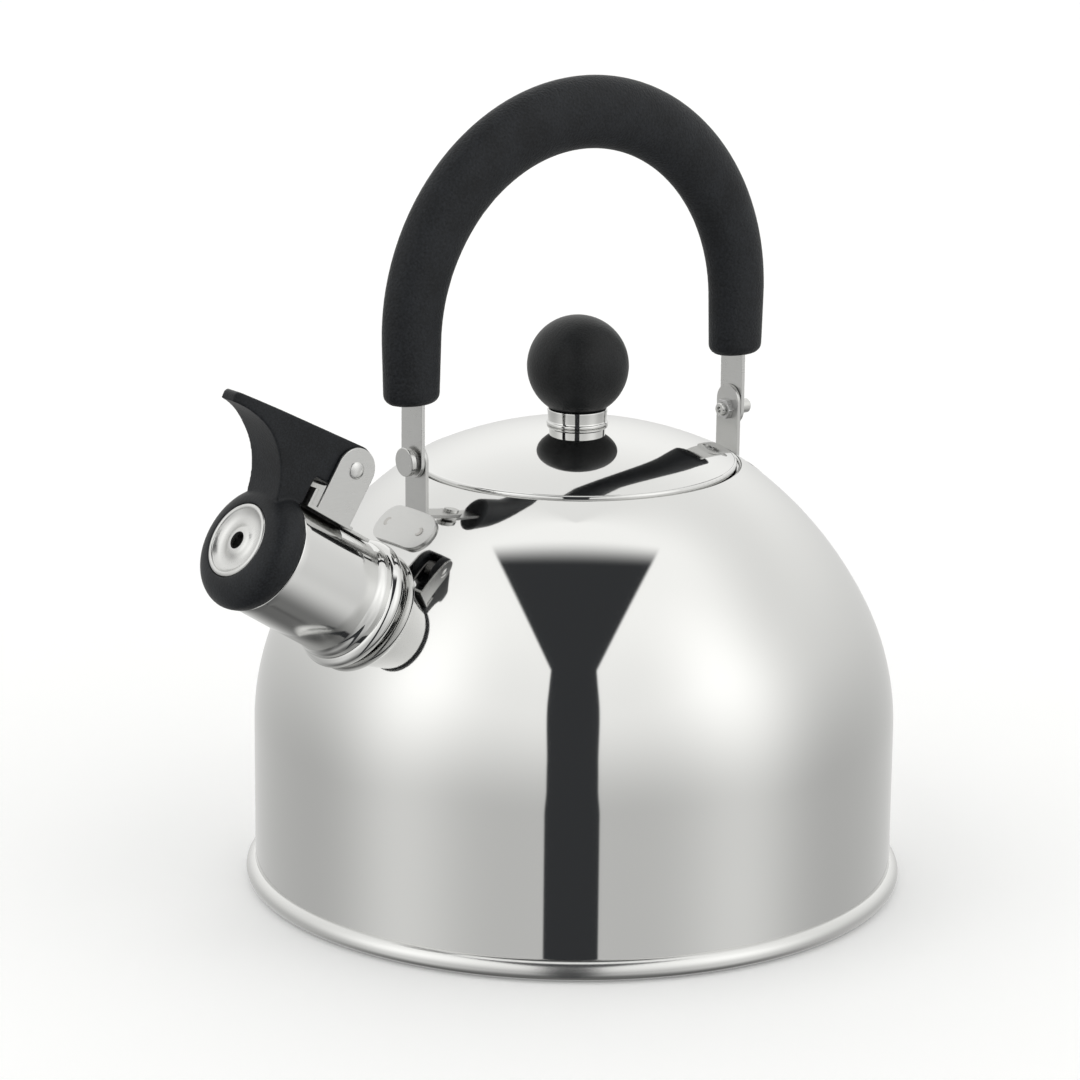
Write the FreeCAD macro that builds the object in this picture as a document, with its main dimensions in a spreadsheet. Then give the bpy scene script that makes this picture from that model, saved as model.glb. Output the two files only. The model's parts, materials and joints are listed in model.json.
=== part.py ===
"""Stovetop whistling kettle, as a parametric document.

Kettle frame: millimetres, +Z up, origin under the middle of the base, spout towards -X.
Spout frame: origin in the middle of the whistle's front, X along the spout axis towards the
body, Z up across it, Y as in the kettle frame.
"""
import FreeCAD, Part
import math
import os
import Sketcher
from FreeCAD import Placement, Rotation, Vector

SIZES = {
    # body shell: a straight wall, a shoulder arc, then a flatter crown arc
    "body_radius": 95.0,
    "wall": 0.8,
    "shoulder_height": 48.0,
    "shoulder_radius": 77.9,
    "shoulder_sweep": 26.5,
    "crown_radius": 113.5,
    # rolled seam between body and base
    "seam_height": 6.3,
    "seam_overhang": 2.7,
    "seam_foot": 0.6,
    "seam_rise": 2.6,
    "seam_lower_curl": 2.9,
    "seam_upper_curl": 3.4,
    "flange_width": 1.6,
    "base_recess": 4.0,
    "base_step_inset": 7.0,
    "base_step_run": 3.0,
    "base_step_drop": 1.6,
    "cap_inset": 16.5,
    "cap_wall": 0.5,
    # neck and lid
    "lid_radius": 47.0,
    "lid_gap": 1.4,
    "lip_round": 0.9,
    "seat_depth": 2.1,
    "seat_width": 4.3,
    "neck_depth": 5.0,
    "lid_edge_height": 3.2,
    "lid_rise": 10.6,
    "lid_pad_radius": 9.0,
    "skirt_clearance": 0.6,
    "skirt_depth": 12.0,
    "skirt_wall": 0.6,
    "lid_edge_round": 0.8,
    # knob
    "knob_radius": 14.9,
    "knob_flat_height": 12.6,
    "ferrule_radius": 8.9,
    "ferrule_waist": 8.55,
    "ferrule_height": 4.8,
    "ferrule_floor": 1.2,
    "ferrule_ring_height": 1.1,
    "spigot_radius": 6.5,
    "insert_radius": 3.0,
    "insert_length": 13.0,
    "knob_screw_radius": 2.0,
    "knob_screw_head": 3.8,
    "knob_screw_head_height": 2.4,
    "knob_screw_end_gap": 2.0,
    "knob_washer_radius": 5.5,
    "knob_washer_thickness": 1.0,
    # handle
    "handle_half_span": 59.9,
    "strap_width": 9.8,
    "strap_thickness": 1.2,
    "arch_rise": 34.8,
    "grip_leg": 18.0,
    "grip_crown_depth": 10.6,
    "grip_crown_width": 7.2,
    "grip_end_depth": 8.5,
    "grip_end_width": 6.8,
    "grip_end_round": 3.0,
    "slot_clearance": 0.1,
    "slot_overrun": 5.0,
    # brackets that carry the handle
    "bracket_thickness": 1.1,
    "pivot_gap": 0.2,
    "pivot_rise": 19.3,
    "rear_tab_extra": 2.4,
    "foot_offset": 3.7,
    "foot_half_length": 12.3,
    "foot_half_width": 6.0,
    # pivots
    "pivot_radius": 2.0,
    "pivot_clearance": 0.05,
    "rivet_head_radius": 4.2,
    "rivet_head_thickness": 1.5,
    "spring_washer_height": 1.2,
    "spring_washer_radius": 3.3,
    "stub_radius": 2.2,
    "stub_length": 6.0,
    "nut_half_width": 2.8,
    "nut_height": 2.0,
    "screw_overrun": 1.2,
    "clinch_height": 1.0,
    "clinch_width": 1.3,
    # spout
    "spout_tilt": 32.5,
    "spout_foot_gap": 1.39,
    "spout_length": 47.4,
    "tube_radius": 17.0,
    "mouth_curl": 2.2,
    "mouth_setback": 10.0,
    "flare_rise": 0.9,
    "bead_rise": 2.5,
    "bead_half_width": 2.3,
    "bead_gap": 0.3,
    "collar_width": 1.6,
    "collar_gap": 0.8,
    "spout_hole_clearance": 0.15,
    # whistle
    "nose_swell": 1.3,
    "nose_setback": 6.0,
    "nose_rim_step": 0.3,
    "disc_radius": 11.0,
    "disc_wall": 0.5,
    "whistle_hole_radius": 2.6,
    "disc_groove_curl": 3.57,
    "disc_boss_curl": 3.4,
    "disc_boss_radius": 4.6,
    "disc_boss_drop": 0.65,
    "chamber_depth": 5.0,
    "seal_inset": 0.7,
    "seal_width": 4.3,
    "seal_thickness": 1.4,
    "seal_lip_gap": 0.02,
    # whistle lever and its hinge
    "pin_setback": 20.1,
    "pin_rise": 15.5,
    "pin_radius": 1.8,
    "lever_width": 15.0,
    "lever_corner": 7.0,
    "lever_front_radius": 22.2,
    "lever_tip_reach": 24.2,
    "lever_tip_rise": 2.9,
    "lever_tip_half_width": 1.6,
    "lever_taper_radius": 38.0,
    "lever_taper_start": 1.4,
    "lever_socket_wall": 3.2,
    "lever_heel_drop": 8.0,
    "ear_half_width": 6.4,
    "ear_thickness": 1.0,
    "ear_gap": 0.3,
    "hinge_plate": 1.0,
    "hook_height": 5.6,
    "tongue_width": 8.0,
    "spring_radius": 2.9,
    "spring_wire": 0.4,
    "spring_turns": 4.5,
    "spring_slot_width": 8.0,
    "spring_slot_radius": 4.3,
}


class Dim:
    """A size that holds both its number and the sheet formula it comes from."""

    def __init__(self, formula, number):
        self.formula = formula
        self.number = number

    def __add__(self, other):
        other = as_dim(other)
        return Dim(f"({self.formula} + {other.formula})", self.number + other.number)

    def __sub__(self, other):
        other = as_dim(other)
        return Dim(f"({self.formula} - {other.formula})", self.number - other.number)

    def __mul__(self, other):
        other = as_dim(other)
        return Dim(f"({self.formula} * {other.formula})", self.number * other.number)

    def __truediv__(self, other):
        other = as_dim(other)
        return Dim(f"({self.formula} / {other.formula})", self.number / other.number)

    def __neg__(self):
        return as_dim(0.0) - self

    __radd__ = __add__
    __rmul__ = __mul__

    def __rsub__(self, other):
        return as_dim(other) - self


def as_dim(value):
    return value if isinstance(value, Dim) else Dim(repr(float(value)), float(value))


def root(size):
    return Dim(f"sqrt({size.formula})", math.sqrt(size.number))


def magnitude(size):
    return Dim(f"abs({size.formula})", abs(size.number))


def cosine(angle):
    return Dim(f"cos({angle.formula})", math.cos(math.radians(angle.number)))


def sine(angle):
    return Dim(f"sin({angle.formula})", math.sin(math.radians(angle.number)))


def fill_sheet(sheet, sizes):
    """Write one row per driving size and return each as a Dim."""
    dims = {}
    for row, (alias, number) in enumerate(sizes.items(), start=1):
        sheet.set(f"A{row}", alias)
        sheet.set(f"B{row}", str(number))
        sheet.setAlias(f"B{row}", alias)
        dims[alias] = Dim(f"{sheet.Name}.{alias}", number)
    return dims


doc = FreeCAD.newDocument("Kettle")
sheet = doc.addObject("Spreadsheet::Sheet", "Sizes")
size = fill_sheet(sheet, SIZES)
doc.recompute()
nodes = []


# ---------------------------------------------------------------- building helpers

def new_body(label):
    """A body of its own, in the kettle frame, that becomes one node."""
    body = doc.addObject("PartDesign::Body", label)
    body.Label = label
    nodes.append(body)
    return body


def origin_plane(body, role):
    return next(item for item in body.Origin.OriginFeatures if item.Role == role)


def new_sketch(body, name, role):
    sketch = body.newObject("Sketcher::SketchObject", name)
    sketch.AttachmentSupport = [(origin_plane(body, role), "")]
    sketch.MapMode = "FlatFace"
    return sketch


def bind(sketch, kind, elements, target):
    """Add one dimension to a sketch and tie it to the sheet."""
    target = as_dim(target)
    index = sketch.addConstraint(Sketcher.Constraint(kind, *elements, target.number))
    sketch.setExpression(f"Constraints[{index}]", target.formula)


def arc_between(first, last, radius, turn):
    """The short arc between two points: turn 1 runs anticlockwise, turn -1 clockwise."""
    chord = last - first
    half = chord.Length / 2
    rise = math.sqrt(max(radius * radius - half * half, 0.0))
    across = Vector(-chord.y, chord.x, 0).normalize() * turn
    centre = (first + last) / 2 + across * rise
    start, end = (first, last) if turn > 0 else (last, first)
    begin = math.atan2(start.y - centre.y, start.x - centre.x)
    finish = math.atan2(end.y - centre.y, end.x - centre.x)
    return Part.ArcOfCircle(Part.Circle(centre, Vector(0, 0, 1), radius), begin, finish)


def outline(sketch, steps):
    """Draw a closed outline with every corner and radius tied to the sheet.

    A step is (x, y) for a straight run to that corner, or (x, y, radius, turn) for an arc.
    The first step is the start, and the last run goes straight back to it.
    """
    corners = [(as_dim(step[0]), as_dim(step[1])) for step in steps]
    runs = [step[2:] for step in steps[1:]] + [()]
    places = [Vector(x.number, y.number, 0) for x, y in corners]
    ends = []
    for index, run in enumerate(runs):
        first = places[index]
        last = places[(index + 1) % len(places)]
        if run:
            radius, turn = as_dim(run[0]), run[1]
            edge = sketch.addGeometry(arc_between(first, last, radius.number, turn))
            bind(sketch, "Radius", (edge,), radius)
            ends.append((edge, 1, 2) if turn > 0 else (edge, 2, 1))
        else:
            edge = sketch.addGeometry(Part.LineSegment(first, last))
            ends.append((edge, 1, 2))
    for index, (edge, start, _) in enumerate(ends):
        before, _, finish = ends[index - 1]
        sketch.addConstraint(Sketcher.Constraint("Coincident", before, finish, edge, start))
        bind(sketch, "DistanceX", (-1, 1, edge, start), corners[index][0])
        bind(sketch, "DistanceY", (-1, 1, edge, start), corners[index][1])
    return sketch


def circle(sketch, x, y, radius):
    x, y, radius = as_dim(x), as_dim(y), as_dim(radius)
    ring = Part.Circle(Vector(x.number, y.number, 0), Vector(0, 0, 1), radius.number)
    edge = sketch.addGeometry(ring)
    bind(sketch, "Radius", (edge,), radius)
    bind(sketch, "DistanceX", (-1, 1, edge, 3), x)
    bind(sketch, "DistanceY", (-1, 1, edge, 3), y)
    return sketch


def revolve(body, sketch, axis):
    turned = body.newObject("PartDesign::Revolution", sketch.Name + "_turned")
    turned.Profile = sketch
    turned.ReferenceAxis = (sketch, [axis])
    turned.Angle = 360
    return turned


def pad(body, sketch, length):
    """Raise a sketch by the same amount on both sides of its plane."""
    raised = body.newObject("PartDesign::Pad", sketch.Name + "_pad")
    raised.Profile = sketch
    raised.SideType = "Symmetric"
    raised.setExpression("Length", as_dim(length).formula)
    return raised


def pocket(body, sketch, length=None):
    """Cut a sketch through both ways, or only over a length centred on its plane."""
    cut = body.newObject("PartDesign::Pocket", sketch.Name + "_cut")
    cut.Profile = sketch
    cut.SideType = "Symmetric"
    if length is None:
        cut.Type = "ThroughAll"
    else:
        cut.setExpression("Length", as_dim(length).formula)
    return cut


def round_edges(body, radius, chosen):
    """Round the edges of the body's last feature that the test picks out."""
    doc.recompute()
    base = body.Tip
    names = [f"Edge{i}" for i, edge in enumerate(base.Shape.Edges, start=1) if chosen(edge)]
    rounded = body.newObject("PartDesign::Fillet", body.Name + "_rounded")
    rounded.Base = (base, names)
    rounded.setExpression("Radius", as_dim(radius).formula)
    body.Tip = rounded
    return rounded


def turned_part(label, steps):
    """A piece turned about the kettle's own axis: steps are (radius, height)."""
    body = new_body(label)
    revolve(body, outline(new_sketch(body, label + "_outline", "XZ_Plane"), steps), "V_Axis")
    return body


# ---------------------------------------------------------------- body and base

wall = size["wall"]
body_radius = size["body_radius"]
shoulder_height = size["shoulder_height"]
shoulder_radius = size["shoulder_radius"]
crown_radius = size["crown_radius"]
shoulder_cos = cosine(size["shoulder_sweep"])
shoulder_sin = sine(size["shoulder_sweep"])
shoulder_centre = body_radius - shoulder_radius
crown_centre_x = shoulder_centre - (crown_radius - shoulder_radius) * shoulder_cos
crown_centre_z = shoulder_height - (crown_radius - shoulder_radius) * shoulder_sin


def crown_height(radius, inset=0.0):
    """Height of the crown's outer face at a radius, or of a face inset from it."""
    reach = crown_radius - inset
    across = radius - crown_centre_x
    return crown_centre_z + root(reach * reach - across * across)


lip_radius = size["lid_radius"] + size["lid_gap"]
lip_height = crown_height(lip_radius)
neck_outer = lip_radius - size["lip_round"]
seat_height = lip_height - size["seat_depth"]
neck_bottom = seat_height - size["neck_depth"]
neck_radius = neck_outer - size["seat_width"]
flange_bottom = size["base_recess"] - 0.5
flange_radius = body_radius + size["flange_width"]


def make_body_shell():
    """Drawn shell: seam flange, wall, shoulder, crown, rounded lip, lid seat and neck."""
    inner = body_radius - wall
    inner_crown = crown_height(lip_radius, wall)
    blank = turned_part("body_blank", [
        (inner, flange_bottom),
        (flange_radius, flange_bottom),
        (flange_radius, flange_bottom + wall),
        (body_radius, flange_bottom + wall),
        (body_radius, shoulder_height),
        (shoulder_centre + shoulder_radius * shoulder_cos,
         shoulder_height + shoulder_radius * shoulder_sin, shoulder_radius, 1),
        (lip_radius, lip_height, crown_radius, 1),
        (neck_outer, lip_height - size["lip_round"], size["lip_round"], 1),
        (neck_outer, seat_height),
        (neck_radius, seat_height),
        (neck_radius, neck_bottom),
        (neck_radius + wall, neck_bottom),
        (neck_radius + wall, seat_height - wall),
        (lip_radius, seat_height - wall),
        (lip_radius, inner_crown),
        (shoulder_centre + (shoulder_radius - wall) * shoulder_cos,
         shoulder_height + (shoulder_radius - wall) * shoulder_sin, crown_radius - wall, -1),
        (inner, shoulder_height, shoulder_radius - wall, -1),
    ])
    nodes.remove(blank)
    return blank


body_blank = make_body_shell()

pan_slot = 0.02
seam_radius = body_radius + size["seam_overhang"]
step = body_radius - size["base_step_inset"]
step_run = size["base_step_run"]
step_drop = size["base_step_drop"]
recess = size["base_recess"]
turned_part("base_pan", [
    (0, recess),
    (step, recess),
    (step + step_run, recess - step_drop),
    (body_radius - 2.0, recess - step_drop),
    (body_radius - 0.6, size["seam_foot"]),
    (body_radius + 1.0, size["seam_foot"]),
    (seam_radius, size["seam_foot"] + size["seam_rise"], size["seam_lower_curl"], 1),
    (body_radius + 0.3, size["seam_height"], size["seam_upper_curl"], 1),
    (body_radius + pan_slot, size["seam_height"]),
    (body_radius + pan_slot, flange_bottom + wall + pan_slot),
    (flange_radius + pan_slot, flange_bottom + wall + pan_slot),
    (flange_radius + pan_slot, flange_bottom - pan_slot),
    (step + step_run + 0.6, flange_bottom - pan_slot),
    (step + 0.8, recess + wall),
    (0, recess + wall),
])

cap_radius = body_radius - size["cap_inset"]
cap_wall = size["cap_wall"]
turned_part("heat_disc", [
    (0, cap_wall),
    (cap_radius - cap_wall, cap_wall),
    (cap_radius - cap_wall, recess),
    (0, recess),
])
turned_part("base_cap", [
    (0, 0),
    (cap_radius - 1.0, 0),
    (cap_radius, 1.0, 1.0, 1),
    (cap_radius, recess),
    (cap_radius - cap_wall, recess),
    (cap_radius - cap_wall, cap_wall),
    (0, cap_wall),
])


# ---------------------------------------------------------------- lid and knob

lid_radius = size["lid_radius"]
rest_gap = 0.05
lid_bottom = seat_height + rest_gap
lid_edge = lid_bottom + size["lid_edge_height"]
lid_top = lid_edge + size["lid_rise"]
pad_radius = size["lid_pad_radius"]
edge_round = size["lid_edge_round"]
dome_start = lid_radius - edge_round
lid_dome = (dome_start * dome_start + size["lid_rise"] * size["lid_rise"]) / (2 * size["lid_rise"])
lid_hole = size["knob_screw_radius"] + 0.2


def lid_height(radius, inset=0.0):
    """Height of the lid's domed face at a radius, or of a face inset from it."""
    reach = lid_dome - inset
    return lid_top - lid_dome + root(reach * reach - radius * radius)


pad_top = lid_height(pad_radius)
turned_part("lid_shell", [
    (lid_hole, pad_top - wall),
    (pad_radius, pad_top - wall),
    (dome_start - wall, lid_height(dome_start - wall, wall), lid_dome - wall, -1),
    (lid_radius - wall, lid_edge - edge_round - wall),
    (lid_radius - wall, lid_bottom),
    (lid_radius, lid_bottom),
    (lid_radius, lid_edge - edge_round),
    (dome_start, lid_height(dome_start), edge_round, 1),
    (pad_radius, pad_top, lid_dome, 1),
    (lid_hole, pad_top),
])

skirt_radius = neck_radius - size["skirt_clearance"]
skirt_top = lid_edge - edge_round - wall - rest_gap
skirt_wall = size["skirt_wall"]
turned_part("lid_skirt", [
    (skirt_radius - skirt_wall, skirt_top - size["skirt_depth"]),
    (skirt_radius, skirt_top - size["skirt_depth"]),
    (skirt_radius, skirt_top - skirt_wall),
    (lid_radius - wall, skirt_top - skirt_wall),
    (lid_radius - wall, skirt_top),
    (skirt_radius - skirt_wall, skirt_top),
])

ferrule_top = pad_top + size["ferrule_height"]
ferrule_radius = size["ferrule_radius"]
ferrule_waist = size["ferrule_waist"]
spigot_radius = size["spigot_radius"]
ferrule_floor = pad_top + size["ferrule_floor"]
ring_top = pad_top + size["ferrule_ring_height"]
turned_part("knob_ferrule", [
    (lid_hole, pad_top),
    (ferrule_radius - 0.2, pad_top),
    (ferrule_radius - 0.2, ring_top, 0.6, 1),
    (ferrule_waist, ring_top + 0.3),
    (ferrule_radius - 0.1, ferrule_top - 0.5),
    (ferrule_radius - 0.4, ferrule_top, 0.4, 1),
    (spigot_radius + 0.1, ferrule_top),
    (spigot_radius + 0.1, ferrule_floor),
    (lid_hole, ferrule_floor),
])

knob_radius = size["knob_radius"]
knob_flat = size["knob_flat_height"]
knob_centre = ferrule_top + knob_flat
knob_foot = root(knob_radius * knob_radius - knob_flat * knob_flat)
insert_radius = size["insert_radius"]
spigot_bottom = ferrule_floor + 0.3
insert_top = spigot_bottom + size["insert_length"]
turned_part("lid_knob", [
    (insert_radius, spigot_bottom),
    (spigot_radius, spigot_bottom),
    (spigot_radius, ferrule_top),
    (knob_foot, ferrule_top),
    (knob_radius, knob_centre, knob_radius, 1),
    (0, knob_centre + knob_radius, knob_radius, 1),
    (0, insert_top),
    (insert_radius, insert_top),
])
screw_radius = size["knob_screw_radius"]
turned_part("knob_insert", [
    (screw_radius, spigot_bottom),
    (insert_radius, spigot_bottom),
    (insert_radius, insert_top),
    (screw_radius, insert_top),
])
washer_top = pad_top - wall
washer_bottom = washer_top - size["knob_washer_thickness"]
turned_part("knob_washer", [
    (lid_hole, washer_bottom),
    (size["knob_washer_radius"], washer_bottom),
    (size["knob_washer_radius"], washer_top),
    (lid_hole, washer_top),
])
screw_head = size["knob_screw_head"]
screw_bottom = washer_bottom - size["knob_screw_head_height"]
screw_tip = insert_top - size["knob_screw_end_gap"]
turned_part("knob_screw", [
    (0, screw_bottom + 1.0),
    (1.0, screw_bottom + 1.0),
    (1.0, screw_bottom),
    (screw_head - 1.0, screw_bottom),
    (screw_head, screw_bottom + 1.2, 1.3, 1),
    (screw_head, washer_bottom),
    (screw_radius, washer_bottom),
    (screw_radius, screw_tip),
    (0, screw_tip),
])


# ---------------------------------------------------------------- handle

strap_outer = size["handle_half_span"]
strap_inner = strap_outer - size["strap_thickness"]
strap_width = size["strap_width"]
half_strap = strap_width / 2
end_round = half_strap - 0.05
pivot_hole = size["pivot_radius"] + size["pivot_clearance"]
tab_outer = strap_inner - size["pivot_gap"]
tab_inner = tab_outer - size["bracket_thickness"]
foot_radius = tab_outer + size["foot_offset"]
foot_height = crown_height(foot_radius)
pivot_height = foot_height + size["pivot_rise"]
arch_height = pivot_height + size["arch_rise"]
leg_bottom = arch_height - size["grip_leg"]


def band_outline(sketch, outer, inner, bottom):
    """An upright arch: two straight legs joined by a half circle."""
    return outline(sketch, [
        (outer, bottom),
        (outer, arch_height),
        (0, arch_height + outer, outer, 1),
        (-outer, arch_height, outer, 1),
        (-outer, bottom),
        (-inner, bottom),
        (-inner, arch_height),
        (0, arch_height + inner, inner, -1),
        (inner, arch_height, inner, -1),
        (inner, bottom),
    ])


def make_strap():
    """Flat steel bar bent to an arch, with round ends drilled for the pivots."""
    body = new_body("handle_strap")
    sketch = new_sketch(body, "strap_side", "XZ_Plane")
    pad(body, band_outline(sketch, strap_outer, strap_inner, pivot_height - half_strap), strap_width)
    low = pivot_height.number - half_strap.number

    def is_end_corner(edge):
        box = edge.BoundBox
        return box.ZMax < low + 0.01 and box.YLength < 0.01

    round_edges(body, end_round, is_end_corner)
    pocket(body, circle(new_sketch(body, "strap_holes", "YZ_Plane"), 0, pivot_height, pivot_hole))


def make_grip():
    """Moulded grip: an oval section swept along the arch, fatter at the crown."""
    centre = strap_outer
    spine = doc.addObject("Sketcher::SketchObject", "grip_spine")
    spine.Placement = Placement(Vector(), Rotation(Vector(1, 0, 0), 90))
    left, right, top = -centre.number, centre.number, arch_height.number + centre.number
    base, spring_line = leg_bottom.number, arch_height.number
    path = [
        Part.LineSegment(Vector(left, base, 0), Vector(left, spring_line, 0)),
        arc_between(Vector(left, spring_line, 0), Vector(0, top, 0), centre.number, -1),
        arc_between(Vector(0, top, 0), Vector(right, spring_line, 0), centre.number, -1),
        Part.LineSegment(Vector(right, spring_line, 0), Vector(right, base, 0)),
    ]
    for edge in path:
        spine.addGeometry(edge)
    places = [
        ("grip_left_section", -centre, leg_bottom, 0, "end"),
        ("grip_crown_section", as_dim(0), arch_height + centre, 90, "crown"),
        ("grip_right_section", centre, leg_bottom, 180, "end"),
    ]
    sections = []
    for name, x, z, turn, kind in places:
        oval = doc.addObject("Part::Ellipse", name)
        oval.setExpression("MajorRadius", size[f"grip_{kind}_depth"].formula)
        oval.setExpression("MinorRadius", size[f"grip_{kind}_width"].formula)
        oval.Placement = Placement(Vector(), Rotation(Vector(0, 1, 0), turn))
        oval.setExpression("Placement.Base.x", x.formula)
        oval.setExpression("Placement.Base.z", z.formula)
        sections.append(oval)
    sweep = doc.addObject("Part::Sweep", "grip_sweep")
    sweep.Sections = sections
    sweep.Spine = (spine, [f"Edge{number}" for number in range(1, len(path) + 1)])
    sweep.Solid = True
    sweep.Frenet = False
    doc.recompute()
    rounded = doc.addObject("Part::Fillet", "grip_rounded")
    rounded.Base = sweep
    radius = size["grip_end_round"].number
    rounded.Edges = [(number, radius, radius) for number, edge in enumerate(sweep.Shape.Edges, start=1)
                     if edge.BoundBox.ZMax < leg_bottom.number + 0.01]
    slot = doc.addObject("PartDesign::Body", "grip_slot")
    play = size["slot_clearance"]
    sketch = new_sketch(slot, "grip_slot_side", "XZ_Plane")
    slot_side = band_outline(sketch, strap_outer + play, strap_inner - play,
                             leg_bottom - size["slot_overrun"])
    pad(slot, slot_side, strap_width + play * 2)
    grip = doc.addObject("Part::Cut", "handle_grip")
    grip.Base = rounded
    grip.Tool = slot
    grip.Label = "handle_grip"
    nodes.append(grip)


make_strap()
make_grip()


# ---------------------------------------------------------------- brackets and pivots

normal_x = (foot_radius - crown_centre_x) / crown_radius
normal_z = root(1 - normal_x * normal_x)


def make_bracket(label, side, tab_extra):
    """Bent strip: an upright tab with a round top, and an oval foot flat on the crown.

    side is -1 by the spout and 1 at the rear, and tab_extra lengthens the tab's top.
    """
    thickness = size["bracket_thickness"]
    half_width = size["foot_half_width"]
    body = new_body(label)

    def foot_point(along, lift):
        """A point on the foot: along its slope from the middle, and above the crown."""
        return (side * (foot_radius + along * normal_z + lift * normal_x),
                foot_height - along * normal_x + lift * normal_z)

    def slope_height(radius, lift):
        """Height of the foot's lower or upper face where it passes a radius."""
        along = (radius - foot_radius - lift * normal_x) / normal_z
        return foot_height - along * normal_x + lift * normal_z

    tab_top = pivot_height + half_strap + tab_extra
    strip = outline(new_sketch(body, label + "_strip", "XZ_Plane"), [
        (side * tab_inner, tab_top),
        (side * tab_inner, slope_height(tab_inner, as_dim(0))),
        foot_point(half_width - 1.0, as_dim(0)),
        foot_point(half_width - 1.0, thickness),
        (side * tab_outer, slope_height(tab_outer, thickness)),
        (side * tab_outer, tab_top),
    ])
    pad(body, strip, strap_width)
    top = tab_top.number

    def is_top_corner(edge):
        return edge.BoundBox.ZMin > top - 0.01 and edge.BoundBox.YLength < 0.01

    round_edges(body, end_round, is_top_corner)
    foot = outline(new_sketch(body, label + "_foot", "XZ_Plane"), [
        foot_point(-half_width, as_dim(0)),
        foot_point(half_width, as_dim(0)),
        foot_point(half_width, thickness),
        foot_point(-half_width, thickness),
    ])
    pad(body, foot, size["foot_half_length"] * 2)
    half_length = size["foot_half_length"].number

    def is_foot_corner(edge):
        box = edge.BoundBox
        return box.YLength < 0.01 and abs(abs(box.YMin) - half_length) < 0.01 and edge.Length < 1.5

    round_edges(body, half_width - 0.3, is_foot_corner)
    pocket(body, circle(new_sketch(body, label + "_hole", "YZ_Plane"), 0, pivot_height, pivot_hole))


make_bracket("spout_side_bracket", -1, as_dim(0))
make_bracket("rear_bracket", 1, size["rear_tab_extra"])


def pivot_part(label, steps):
    """A piece turned about the handle's pivot line: steps are (along X, radius)."""
    body = turned_about_x(label, steps)
    body.setExpression("Placement.Base.z", pivot_height.formula)
    return body


def turned_about_x(label, steps):
    body = new_body(label)
    revolve(body, outline(new_sketch(body, label + "_outline", "XZ_Plane"), steps), "H_Axis")
    return body


pivot_radius = size["pivot_radius"]
washer_outer = strap_outer + size["spring_washer_height"]
rivet_outer = washer_outer + size["rivet_head_thickness"]
rivet_head = size["rivet_head_radius"]
clinch = tab_inner - size["clinch_height"]
clinch_radius = pivot_radius + size["clinch_width"]
pivot_part("pivot_rivet", [
    (-rivet_outer, 0),
    (-rivet_outer, rivet_head - 0.3),
    (0.3 - rivet_outer, rivet_head, 0.3, -1),
    (-washer_outer, rivet_head),
    (-washer_outer, pivot_radius),
    (-tab_inner, pivot_radius),
    (-tab_inner, clinch_radius),
    (-clinch, clinch_radius - 0.3),
    (-clinch, 0),
])
for washer_label, washer_side in (("spout_side_spring_washer", -1), ("rear_spring_washer", 1)):
    pivot_part(washer_label, [
        (washer_side * strap_outer, size["spring_washer_radius"] - 0.6),
        (washer_side * (washer_outer - 0.4), pivot_radius + 0.1),
        (washer_side * washer_outer, pivot_radius + 0.1),
        (washer_side * (strap_outer + 0.4), size["spring_washer_radius"]),
        (washer_side * strap_outer, size["spring_washer_radius"]),
    ])

nut_inner = tab_inner - size["nut_height"]
screw_end = nut_inner - size["screw_overrun"]
stub_end = strap_outer + size["stub_length"]
stub_radius = size["stub_radius"]
pivot_part("pivot_screw", [
    (screw_end, 0),
    (screw_end + 0.8, 0.8),
    (screw_end, 0.9),
    (screw_end, pivot_radius - 0.3),
    (screw_end + 0.3, pivot_radius),
    (washer_outer, pivot_radius),
    (washer_outer, stub_radius),
    (stub_end - 1.2, stub_radius),
    (stub_end, 0, 2.6, -1),
])


def make_nut():
    """Hexagon nut clamped on the inner face of the rear bracket."""
    body = new_body("pivot_nut")
    body.setExpression("Placement.Base.z", pivot_height.formula)
    body.setExpression("Placement.Base.x", (nut_inner + size["nut_height"] / 2).formula)
    half = size["nut_half_width"]
    across = half * 2 / math.sqrt(3.0)
    corners = [(across * math.cos(math.radians(60 * i)), across * math.sin(math.radians(60 * i)))
               for i in range(6)]
    pad(body, outline(new_sketch(body, "nut_hexagon", "YZ_Plane"), corners), size["nut_height"])
    pocket(body, circle(new_sketch(body, "nut_bore", "YZ_Plane"), 0, 0, pivot_radius))


make_nut()


# ---------------------------------------------------------------- spout, in its own frame

tilt = size["spout_tilt"]
tube_radius = size["tube_radius"]
bead_radius = tube_radius + size["bead_rise"]
foot_edge_x = foot_radius + size["foot_half_width"] * normal_z + size["bracket_thickness"] * normal_x
foot_edge_z = foot_height - size["foot_half_width"] * normal_x + size["bracket_thickness"] * normal_z
axis_drop = bead_radius + size["spout_foot_gap"]
axis_height = foot_edge_z - (axis_drop + foot_edge_x * sine(tilt)) / cosine(tilt)
axis_offset = crown_centre_x * cosine(tilt) + (crown_centre_z - axis_height) * sine(tilt)
axis_miss = magnitude(crown_centre_x * sine(tilt) - (crown_centre_z - axis_height) * cosine(tilt))


def crown_reach(offset, inset=0.0):
    """How far along the axis the crown lies, at an offset from the axis to its centre's side."""
    reach = crown_radius - inset
    across = offset - axis_miss
    return axis_offset + root(reach * reach - across * across)


mouth_reach = crown_reach(as_dim(0))
nose_reach = mouth_reach + size["spout_length"]


def in_spout_frame(item):
    """Place a piece so that its own X runs down the spout axis from the whistle's front."""
    item.Placement = Placement(Vector(), Rotation(Vector(0, 1, 0), tilt.number))
    item.setExpression("Placement.Rotation.Angle", tilt.formula)
    item.setExpression("Placement.Base.x", (-(nose_reach * cosine(tilt))).formula)
    item.setExpression("Placement.Base.z", (axis_height + nose_reach * sine(tilt)).formula)
    return item


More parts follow.
